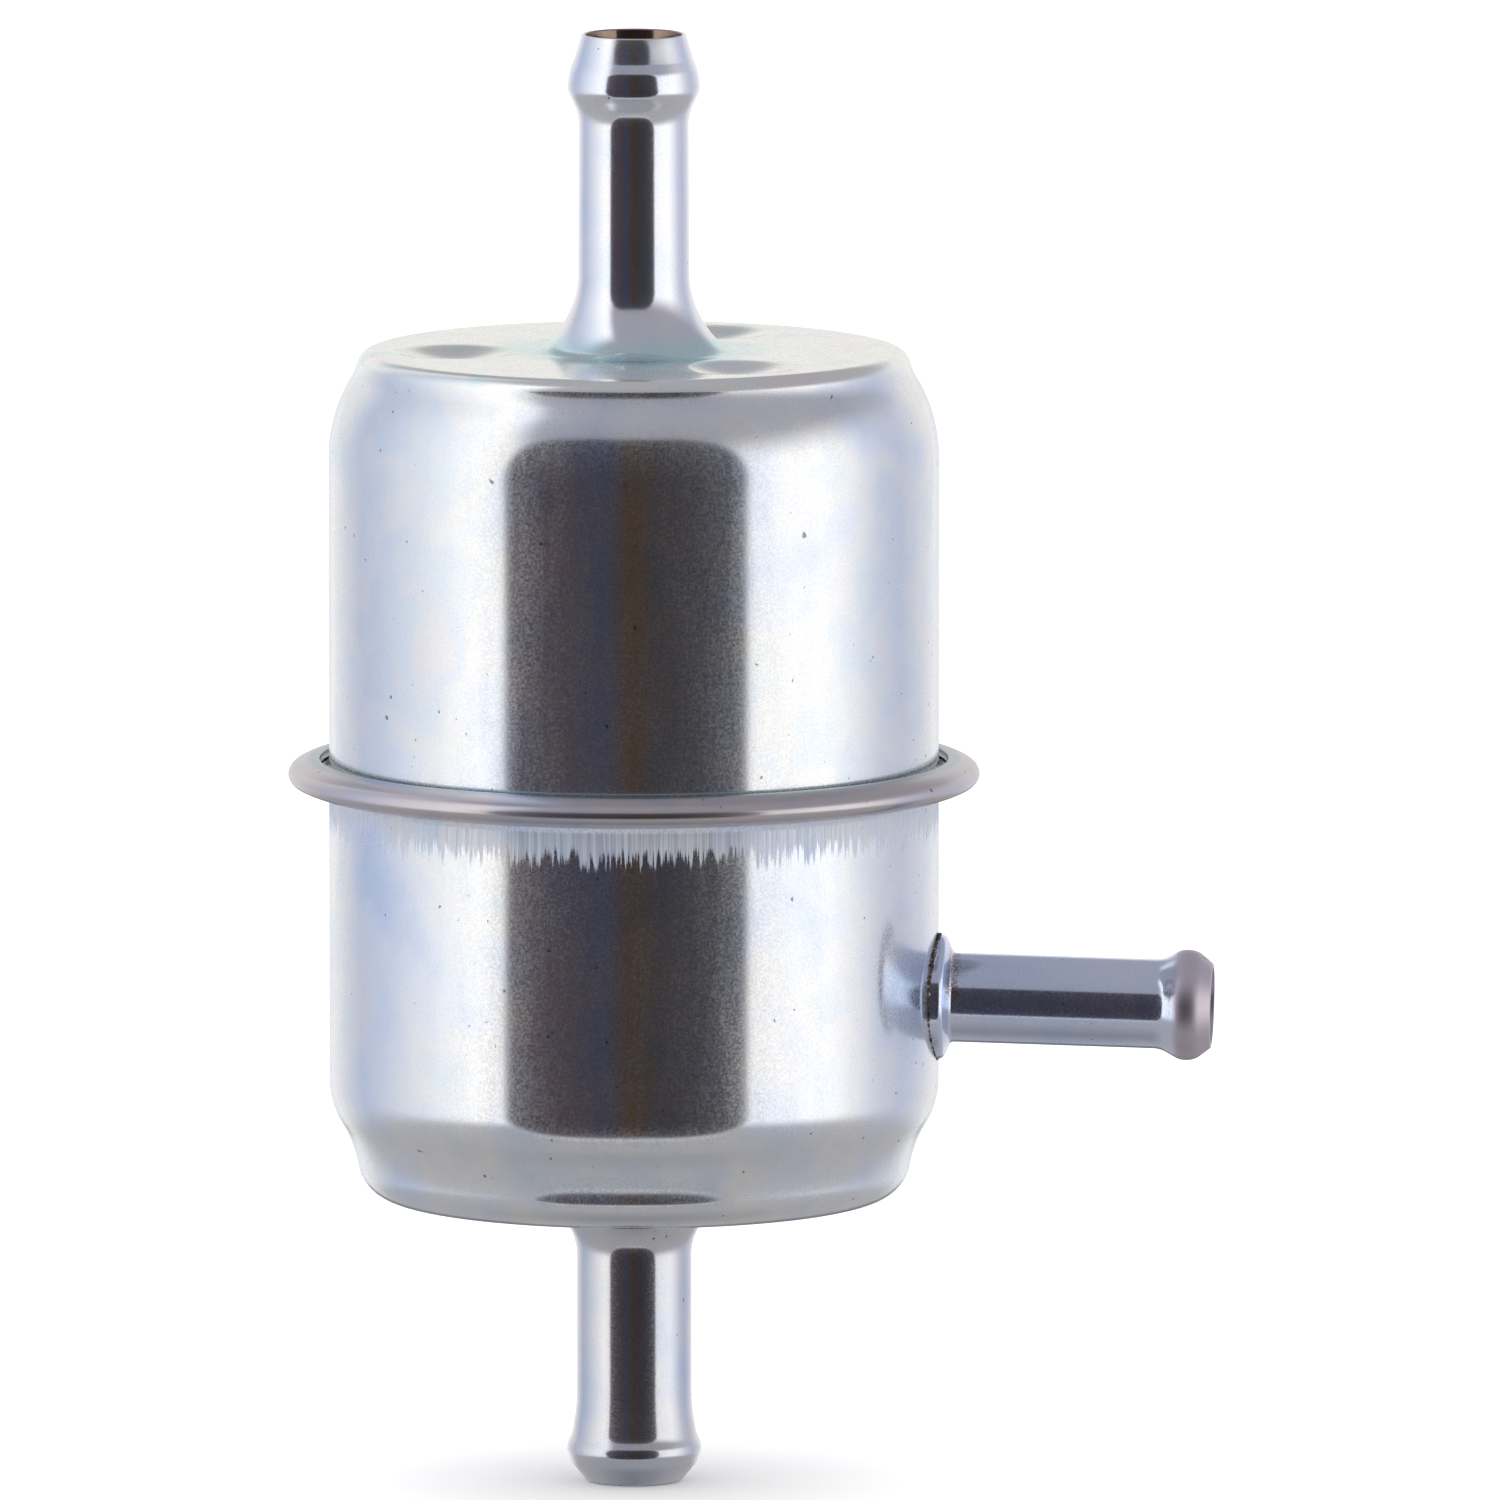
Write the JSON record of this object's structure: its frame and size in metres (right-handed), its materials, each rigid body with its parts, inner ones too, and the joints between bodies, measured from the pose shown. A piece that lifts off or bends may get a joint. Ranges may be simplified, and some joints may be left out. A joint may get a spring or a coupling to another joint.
{
  "type": "fuel filter",
  "caption": "In-line steel fuel filter: two drawn cans joined by a rolled seam, barbed inlet above, beaded outlet below and a brazed side nipple for vapour return.",
  "frame": {"origin": "on the filter's axis, at the middle of the rolled seam", "axes": "+Z along the filter's axis towards the inlet nipple, +X towards the side return nipple"},
  "size_m": [0.0654, 0.0488, 0.1028],
  "materials": {
    "zinc_plate": "bright zinc plate with a faint blue passivation",
    "braze": "dull brown filler metal",
    "brass": "turned",
    "tinned_steel": "tinned sheet, slightly dull",
    "nitrile": "matt black rubber",
    "plastisol": "cured, slightly glossy",
    "filter_paper": "resin-cured crepe paper"
  },
  "bodies": {
    "root": {"upper_can": "zinc_plate", "lower_can": "zinc_plate", "seam_seal": "nitrile", "return_nipple": "zinc_plate", "braze_ring": "braze", "return_restrictor": "brass", "closed_end_cap": "tinned_steel", "open_end_cap": "tinned_steel", "closed_end_potting": "plastisol", "open_end_potting": "plastisol", "pleated_paper": "filter_paper", "pleat_clip": "tinned_steel", "core_tube": "tinned_steel", "outlet_gasket": "nitrile"}
  },
  "joints": []
}
